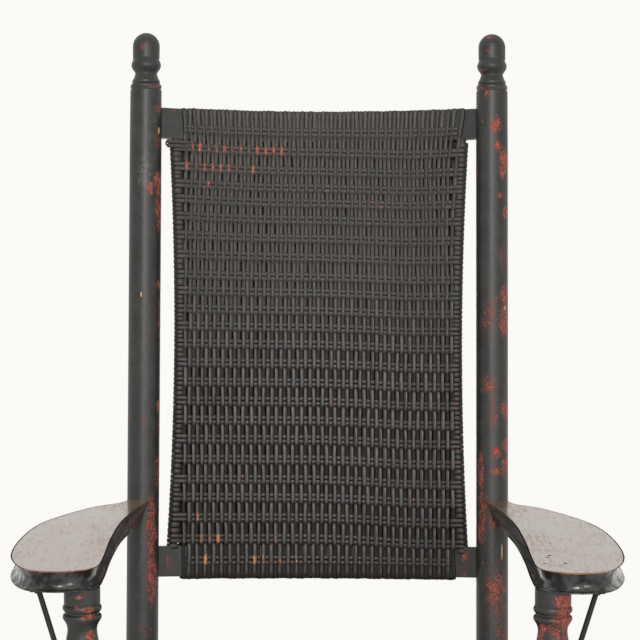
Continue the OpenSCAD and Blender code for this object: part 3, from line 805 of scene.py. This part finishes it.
# More turns round the side rods between the rows
for upper, lower in zip(backRows, backRows[1:]):
    gap = upper - lower - 4 * back["pairHalf"]
    turns = max(1, round(gap / back["wrapPitch"]))
    for k in range(turns):
        s = upper - 2 * back["pairHalf"] - gap * (k + 0.5) / turns
        for side in (-1, 1):
            if not back["rodLow"] + 1 < s < back["rodHigh"] - back["clear"][side]:
                continue
            tilt = seeded.uniform(-back["wrapTilt"], back["wrapTilt"])
            count = back["wrapPoints"]
            ring = ringPoints(side * rodAt(s), s, 0, back["wrapAngle"], count)
            path = weftPath([(u, d, h + tilt * math.sin(j / count * 6.283), c, red)
                             for j, (u, d, h, c, red) in enumerate(ring)])
            vary, thicker, tone = draw("vary", "wrapVary", "weftTones")
            thick = back["wrapThick"] * mm * thicker
            addStrand(wrapPiece, path, gap / turns * mm * vary, thick, tone)

# The loose loop at the upper left corner turns on edge at its round end
loop = {"upper": 664.6, "lower": 659.4, "turn": -198.2, "radius": 2.6, "steps": 12,
        "straight": (-160, -168, -176, -184, -192), "depth": 8.6, "tilt": 62,
        "wide": 5.2, "thick": 2.2}
loose = [(u, loop["upper"], 0.0) for u in loop["straight"]]
for k in range(loop["steps"] + 1):
    a = math.pi * k / loop["steps"]
    loose.append((loop["turn"] - loop["radius"] * math.sin(a),
                  (loop["upper"] + loop["lower"]) / 2 + loop["radius"] * math.cos(a),
                  math.sin(a) ** 0.5))
loose += [(u, loop["lower"], 0.0) for u in loop["straight"][::-1]]
path = []
for k, (u, s, turned) in enumerate(loose):
    before, after = loose[max(0, k - 1)], loose[min(len(loose) - 1, k + 1)]
    du, ds = after[0] - before[0], after[1] - before[1]
    size = math.hypot(du, ds)
    flat = backAcross(u) * (-ds / size) + upBack * (du / size)
    normal = (backSpot(u, -9, s) - backSpot(u, -8, s)).normalized()
    angle = turned * math.radians(loop["tilt"])
    across = (flat * math.cos(angle) - normal * math.sin(angle)).normalized()
    path.append((backSpot(u, -loop["depth"], s), across, 0.5, 0.0, 0.0))
addStrand(wrapPiece, path, loop["wide"] * mm, loop["thick"] * mm, 0.5, closed=False)

finishPiece(weftPiece[0], "back_wefts", "cane", ("back_weave",))
finishPiece(wrapPiece[0], "back_wraps", "cane", ("back_weave",))

seat = {
    "frontHalf": 254.5, "backHalf": 217.5, "slope": math.atan(15 / 405.62), "length": 405.9,
    # rail is the radius of the weave's turn round a rail, reach the share of the width it takes
    "rail": 14.75, "rowPitch": 24.0, "firstRow": 33.0, "rows": 15, "warps": 84, "reach": 0.892,
    "lift": 0.9, "crimp": 0.3, "sag": 4.0, "pairHalf": 2.85,
    "warpWide": 5.35, "warpThick": 1.25, "weftWide": 5.5, "weftThick": 1.1,
    "underWider": 1.38, "wrapThicker": 1.15, "vary": (0.96, 1.03), "tones": (0.1, 0.9),
    # Turns round the side rails: where they start and stop, their pitch and their room to a row
    "wrapFrom": 24.0, "wrapStop": 22, "wrapPitch": 6.0, "wrapRoom": 8.0,
    # Degrees and points of a half turn round a rail
    "turnStep": 18, "turnPoints": 10,
}
seatRows = [seat["firstRow"] + seat["rowPitch"] * k for k in range(seat["rows"])]
seatAlong = Vector((0, math.cos(seat["slope"]), -math.sin(seat["slope"])))
seatShares = [seat["reach"] * (2 * i / (seat["warps"] - 1) - 1) for i in range(seat["warps"])]
seatPieces = [newWeave(), newWeave(), newWeave()]
sideways = Vector((1, 0, 0))


def seatHalf(v):
    return seat["frontHalf"] + (seat["backHalf"] - seat["frontHalf"]) * v / seat["length"]


def seatSpot(x, v, h):
    c, s = math.cos(seat["slope"]), math.sin(seat["slope"])
    return Vector((x * mm, frontY + (v * c + h * s) * mm, seatZ + (h * c - v * s) * mm))


def seatSag(share, v):
    # The top layer dips a little in the middle
    t = max(0.0, min(1.0, v / seat["length"]))
    return seat["sag"] * (1 - share * share) * math.sin(math.pi * t) ** 1.2


def seatWear():
    return seeded.uniform(0.4, 0.9) if seeded.random() < 0.02 else 0.0


def seatStrand(weave, points, wide, thick):
    addStrand(weave, points, wide * mm * seeded.uniform(*seat["vary"]), thick * mm,
              seeded.uniform(*seat["tones"]))


def seatWarp(share, over, weave):
    layer, lift, length = seat["rail"], seat["lift"], seat["length"]
    bends = (back["dive"], back["rise"])
    turn = [math.radians(seat["turnStep"] * k) for k in range(1, seat["turnPoints"])]
    path = []
    for v, h in floatPlan(seatRows, 2.0, length - 2.0, over, *bends):
        height = layer + lift * h - seatSag(share, v)
        path.append((v, height, ease((h + 0.5) / 1.5), 1.0))
    for a in turn:
        path.append((length + layer * math.sin(a), layer * math.cos(a), 0.4, 1.0))
    for v, h in floatPlan(seatRows[::-1], length - 2.0, 2.0, over, *bends):
        path.append((v, -layer - lift * h, ease((h + 0.5) / 1.5), seat["underWider"]))
    for a in turn:
        path.append((-layer * math.sin(a), -layer * math.cos(a), 0.4, 1.0))
    points = []
    for v, h, crown, wider in path:
        half = seatHalf(max(0.0, min(length, v)))
        points.append((seatSpot(share * half, v, h), sideways * wider, crown, seatWear(), 0.0))
    seatStrand(weave, points, seat["warpWide"], seat["warpThick"])


def seatWeft(v, row, weave):
    layer, crimp, half = seat["rail"], seat["crimp"], seatHalf(v)
    turn = [math.radians(seat["turnStep"] * k) for k in range(seat["turnPoints"] + 1)]
    wobble = seeded.uniform(0, 6.28)
    path = []
    for index, share in enumerate(seatShares):
        h = -1.0 if (index + row) % 2 == 0 else 1.0
        along = v + 0.35 * math.sin(share * 5 + wobble)
        height = layer + crimp * h - seatSag(share, v)
        path.append((seatSpot(share * half, along, height), h))
    for a in turn:
        path.append((seatSpot(half + layer * math.sin(a), v, layer * math.cos(a)), 0.2))
    for index, share in reversed(list(enumerate(seatShares))):
        h = -1.0 if (index + len(seatRows) - 1 - row) % 2 == 0 else 1.0
        path.append((seatSpot(share * half, v, -layer - crimp * h), h))
    for a in turn:
        path.append((seatSpot(-half - layer * math.sin(a), v, -layer * math.cos(a)), 0.2))
    points = [(p, seatAlong, 0.5 + 0.35 * h, seatWear(), 0.0) for p, h in path[::-1]]
    seatStrand(weave, points, seat["weftWide"], seat["weftThick"])


def seatWrap(v, side, weave):
    half = seatHalf(v) * side
    inner = abs(half) * (1 - seat["reach"]) - 2.0
    path = []
    for k in range(2 * seat["turnPoints"]):
        a = math.radians(seat["turnStep"] * k)
        reach = seat["rail"] if k <= seat["turnPoints"] else inner
        point = seatSpot(half + reach * math.sin(a) * side, v, seat["rail"] * math.cos(a))
        path.append((point, seatAlong, 0.5, seatWear(), 0.0))
    seatStrand(weave, path[::-1] if side > 0 else path, seat["weftWide"],
               seat["weftThick"] * seat["wrapThicker"])


for index, share in enumerate(seatShares):
    seatWarp(share, index % 2 == 0, seatPieces[index % 2])
for row, v in enumerate(seatRows):
    for strand in (-1, 1):
        seatWeft(v + strand * seat["pairHalf"], row, seatPieces[2])
wrapV = seat["wrapFrom"]
while wrapV < seat["length"] - seat["wrapStop"]:
    if min(abs(wrapV - v) for v in seatRows) > seat["wrapRoom"]:
        for side in (-1, 1):
            seatWrap(wrapV, side, seatPieces[2])
    wrapV += seat["wrapPitch"]
finishPiece(seatPieces[0][0], "seat_warps_a", "cane", ("seat_weave",))
finishPiece(seatPieces[1][0], "seat_warps_b", "cane", ("seat_weave",))
finishPiece(seatPieces[2][0], "seat_wefts", "cane", ("seat_weave",))

arm = {
    # Millimetres outwards and share of the length, from the post's inner side round the arm
    "outline": [(-9, 0.975), (-7, 0.9), (0, 0.75), (2, 0.58), (-4, 0.34), (-13, 0.11), (-14, 0),
                (2, -0.05), (32, -0.067), (62, -0.03), (86, 0.12), (95, 0.36), (88, 0.59),
                (52, 0.81), (22, 0.9), (13, 0.975)],
    "thick": 23.0,
    # Height above the underside of each ring of the side, and how far it is drawn into the arm
    "rings": [(0.0, -3.0), (1.2, -0.2), (3.6, 2.3), (7.5, 3.9), (12.0, 3.8), (16.5, 2.6),
              (20.0, 1.1), (21.8, 0.2), (22.7, -0.4), (23.0, -1.2), (23.0, -2.6)],
    # How much the paint is rubbed off each of the last rings
    "rim": (0.35, 0.92, 1.0, 1.0, 0.6),
    # Shares of the way from the rim to the middle, and the middle's place along and across
    "inward": [0.03, 0.1, 0.25, 0.5, 0.75, 1.0], "middle": (38, 0.35),
    "top": 0.615, "under": 0.592, "steps": 6, "hug": 0.0202,
    # The inner side is drawn in less, by this much at mid height, between these places along it
    "swell": 7.0, "swellFrom": (0.16, 0.42), "swellTo": (0.88, 0.96), "swellPoints": 6,
    # How far the underside is drawn outwards towards the post, and where across that fades
    "tuck": 8.0, "tuckFrom": (0.66, 0.94), "tuckAcross": (-7.0, 22.0),
    # The rings lose this share of their offsets between these places along the arm
    "plain": 0.85, "plainFrom": (0.86, 0.95),
}


def curvePoint(a, b, c, d, t):
    # On the smooth curve from b to c
    square = (2 * a - 5 * b + 4 * c - d) * t * t
    return 0.5 * (2 * b + (c - a) * t + square + (3 * b - a - 3 * c + d) * t ** 3)


def makeArm(name, side, node):
    start = Vector((frontX, frontY))
    end = Vector((backX, backY + (arm["top"] - seatZ) * math.tan(lean)))
    length = (end - start).length
    backwards = (end - start).normalized()
    outwards = Vector((backwards.y, -backwards.x))
    points = [Vector((u * mm, v * length)) for u, v in arm["outline"]]
    count = len(points)
    smooth = []
    for i in range(count):
        around = [points[(i + k) % count] for k in (-1, 0, 1, 2)]
        smooth += [curvePoint(*around, k / arm["steps"]) for k in range(arm["steps"])]
    total = len(smooth)
    middle = start + outwards * arm["middle"][0] * mm + backwards * arm["middle"][1] * length
    # The rings run from the middle of the underside out to the rim, up it and in to the middle
    rings = [(*arm["rings"][0], towards) for towards in arm["inward"][::-1]]
    rings += [(height, inset, 0.0) for height, inset in arm["rings"]]
    last = len(rings) - 1
    rings += [(*arm["rings"][-1], towards) for towards in arm["inward"]]
    rim = {last - 4 + k: rubbed for k, rubbed in enumerate(arm["rim"])}
    bm = bmesh.new()
    edge, top, inner = (bm.verts.layers.float.new(kind) for kind in ("edge", "top", "hollow"))
    grid = bmesh.ops.create_grid(bm, x_segments=total, y_segments=len(rings) - 1, size=1.0)["verts"]
    for v in grid:
        i = round((v.co.x + 1) / 2 * total) % total
        j = round((v.co.y + 1) / 2 * (len(rings) - 1))
        way = (smooth[(i + 1) % total] - smooth[i - 1]).normalized()
        height, inset, towards = rings[j]
        run = smooth[i].y / length
        inset *= 1 - arm["plain"] * part(run, arm["plainFrom"])
        swell = 0.0
        if i < arm["swellPoints"] * arm["steps"]:
            swell = part(run, arm["swellFrom"]) * (1 - part(run, arm["swellTo"]))
            swell *= max(0.0, math.sin(math.pi * height / arm["thick"])) ** 0.8
        # This normal of the outline points into the arm
        place = smooth[i] + Vector((-way.y, way.x)) * (inset - arm["swell"] * swell) * mm
        inside, outside = arm["tuckAcross"]
        share = min(1.0, max(0.0, (outside - place.x / mm) / (outside - inside)))
        tuck = arm["tuck"] * mm * share * part(run, arm["tuckFrom"])
        place.x += tuck * (1 - height / arm["thick"])
        flat = start + outwards * place.x + backwards * place.y
        z = arm["under"] + height * mm
        # The end is scooped to lie against the leaning back post
        centre = Vector((backX, backY + (z - seatZ) * math.tan(lean)))
        beside, beyond = (flat - centre).dot(outwards), (flat - centre).dot(backwards)
        if abs(beside) < arm["hug"]:
            beyond = min(beyond, -math.sqrt(arm["hug"] ** 2 - beside ** 2))
        flat = (centre + outwards * beside + backwards * beyond).lerp(middle, towards)
        v.co = Vector((flat.x * side, flat.y, z))
        v[edge] = rim.get(j, 0.0)
        v[inner] = swell
        v[top] = 1.0 if j >= last - 1 else 0.4 if j == last - 2 else 0.0
    bmesh.ops.remove_doubles(bm, verts=grid, dist=seam)
    obj = finishPiece(bm, name, "arm", (node,))
    # The flat top and underside stay flat up to their edges
    for face in obj.data.polygons:
        face.use_smooth = abs(face.normal.z) < 0.999


makeArm("arm_left_shaped", -1, "arm_left")
makeArm("arm_right_shaped", 1, "arm_right")

# Place in metres, angles in degrees, lens in millimetres
view = {"place": (-0.0023, -3.069, 1.1676), "yaw": 0.079, "pitch": 5.82, "roll": 0.2,
        "lens": 147.67, "sensor": 36.0, "far": 50.0}


def placeCamera():
    yaw, pitch, roll = (math.radians(view[name]) for name in ("yaw", "pitch", "roll"))
    forward = Vector((math.sin(yaw) * math.cos(pitch), math.cos(yaw) * math.cos(pitch),
                      -math.sin(pitch)))
    level = Vector((math.cos(yaw), -math.sin(yaw), 0))
    upright = level.cross(forward)
    right = level * math.cos(roll) + upright * math.sin(roll)
    up = upright * math.cos(roll) - level * math.sin(roll)
    data = bpy.data.cameras.new("camera")
    data.sensor_width = view["sensor"]
    data.lens = view["lens"]
    data.clip_end = view["far"]
    camera = addObject("camera", data)
    turned = Matrix((right, up, -forward)).transposed().to_4x4()
    camera.matrix_world = Matrix.Translation(view["place"]) @ turned
    bpy.context.scene.camera = camera


placeCamera()


def areaLight(name, place, target, size, power, colour=(1.0, 1.0, 1.0)):
    data = bpy.data.lights.new(name, "AREA")
    data.shape = "RECTANGLE"
    data.size, data.size_y = size
    data.energy = power
    data.color = colour
    lamp = addObject(name, data)
    lamp.location = place
    lamp.rotation_euler = (Vector(target) - Vector(place)).to_track_quat("-Z", "Y").to_euler()
    lamp.visible_camera = False


areaLight("keyLight", (-0.1, -3.5, 2.3), (0, 0.1, 0.8), (0.9, 1.4), 70.0, (1.0, 0.985, 0.96))
areaLight("fillLight", (1.6, -3.0, 1.2), (0, 0.1, 0.8), (0.6, 1.2), 14.0)


# Colour and strength of the world as it lights matt surfaces and as it is seen or mirrored
sky = {"light": ((1.0, 0.995, 0.985, 1.0), 0.62), "seen": ((0.965, 0.955, 0.93, 1.0), 1.0)}


def makeWorld():
    world = bpy.data.worlds.new("studio")
    bpy.context.scene.world = world
    world.use_nodes = True
    tree = world.node_tree
    tree.nodes.clear()
    rays = tree.nodes.new("ShaderNodeLightPath")
    camera, glossy, through = (Wire(tree, rays.outputs[f"Is {kind} Ray"])
                               for kind in ("Camera", "Glossy", "Transmission"))
    seen = camera.math("MAXIMUM", glossy).math("MAXIMUM", through)
    mix = tree.nodes.new("ShaderNodeMixShader")
    output = tree.nodes.new("ShaderNodeOutputWorld")
    feed(tree, mix.inputs[0], seen)
    for kind, socket in (("light", mix.inputs[1]), ("seen", mix.inputs[2])):
        node = tree.nodes.new("ShaderNodeBackground")
        node.inputs["Color"].default_value, node.inputs["Strength"].default_value = sky[kind]
        tree.links.new(node.outputs[0], socket)
    tree.links.new(mix.outputs[0], output.inputs["Surface"])


makeWorld()


# The floor fades out before its edge
ground = {"colours": ((0.86, 0.855, 0.84), (0.9, 0.895, 0.88)), "speck": 8.0,
          "fade": (1.75, 1.1), "radius": 1.8, "sides": 96}


def makeFloor():
    f = Finish("paleFloor", "none")
    where = f.place()
    speck = f.noise(where, ground["speck"], 3.0)
    f.set(Base_Color=f.mix(speck, *ground["colours"]),
          Roughness=0.8 + speck * 0.1,
          Alpha=where.vector("LENGTH").step(*ground["fade"]))
    bm = bmesh.new()
    bmesh.ops.create_circle(bm, cap_ends=True, segments=ground["sides"], radius=ground["radius"])
    mesh = bpy.data.meshes.new("floor")
    bm.to_mesh(mesh)
    bm.free()
    mesh.materials.append(f.material)
    floor = addObject("floor", mesh)


makeFloor()
bpy.context.scene.view_settings.view_transform = "Standard"
